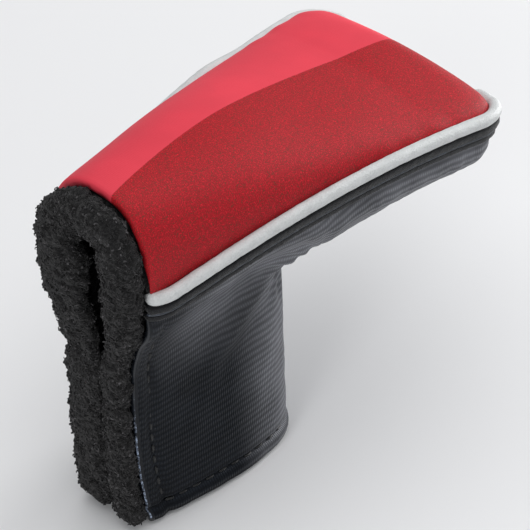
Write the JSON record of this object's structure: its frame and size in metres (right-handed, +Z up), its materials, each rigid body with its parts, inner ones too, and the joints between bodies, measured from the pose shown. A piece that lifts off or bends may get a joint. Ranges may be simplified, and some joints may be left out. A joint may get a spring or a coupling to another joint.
{
  "type": "putter head cover",
  "caption": "Padded blade putter head cover with an arched printed crown, white piping, dark embossed side panels, fleece lining and two magnetic neck flaps.",
  "frame": {"origin": "middle of the heel mouth, in the plane of the heel edge and level with the heel ends of the piping", "axes": "+X from the heel mouth to the toe, +Y from the front side to the back side, +Z up, from the neck to the crown"},
  "size_m": [0.1463, 0.0826, 0.128],
  "materials": {
    "crown_print": "coated fabric, printed light red over a darker flecked red",
    "foam": "soft open foam",
    "fleece": "curly charcoal fleece",
    "piping": "off-white coated fabric with a fine grain",
    "cord": "twisted filler cord",
    "welt": "matt dark felt",
    "side_skin": "dark coated fabric with a woven emboss",
    "turned_edge": "dark coated fabric, turned and pressed",
    "thread": "dark polyester thread",
    "pouch": "plain woven tape",
    "magnet": "nickel plated disc"
  },
  "bodies": {
    "shell": {"crown_panel": "crown_print", "crown_foam": "foam", "crown_lining": "fleece", "piping_cover": "piping", "piping_cord": "cord", "welt_strip": "welt", "front_panel": "side_skin", "front_foam": "foam", "front_lining": "fleece", "back_panel": "side_skin", "back_foam": "foam", "back_lining": "fleece", "heel_rim": "fleece", "pocket_seam_tape": "pouch", "hem_edge": "turned_edge", "hem_thread": "thread"},
    "front_flap": {"front_flap_panel": "side_skin", "front_flap_foam": "foam", "front_flap_lining": "fleece", "front_flap_rim": "fleece", "front_flap_edge": "turned_edge", "front_flap_thread": "thread", "front_flap_pouch": "pouch", "front_flap_magnets": "magnet"},
    "back_flap": {"back_flap_panel": "side_skin", "back_flap_foam": "foam", "back_flap_lining": "fleece", "back_flap_rim": "fleece", "back_flap_edge": "turned_edge", "back_flap_thread": "thread", "back_flap_pouch": "pouch", "back_flap_magnets": "magnet"}
  },
  "joints": [
    {"name": "front_fold", "type": "hinge", "parent": "shell", "child": "front_flap", "pos_m": [0, -0.019, -0.0055], "axis": [-0.4089, 0.003, 0.9126], "range_deg": [0, 30], "stiffness_Nm_per_rad": 0.01},
    {"name": "back_fold", "type": "hinge", "parent": "shell", "child": "back_flap", "pos_m": [0, 0.019, -0.0055], "axis": [0.4089, 0.003, -0.9126], "range_deg": [0, 30], "stiffness_Nm_per_rad": 0.01}
  ]
}
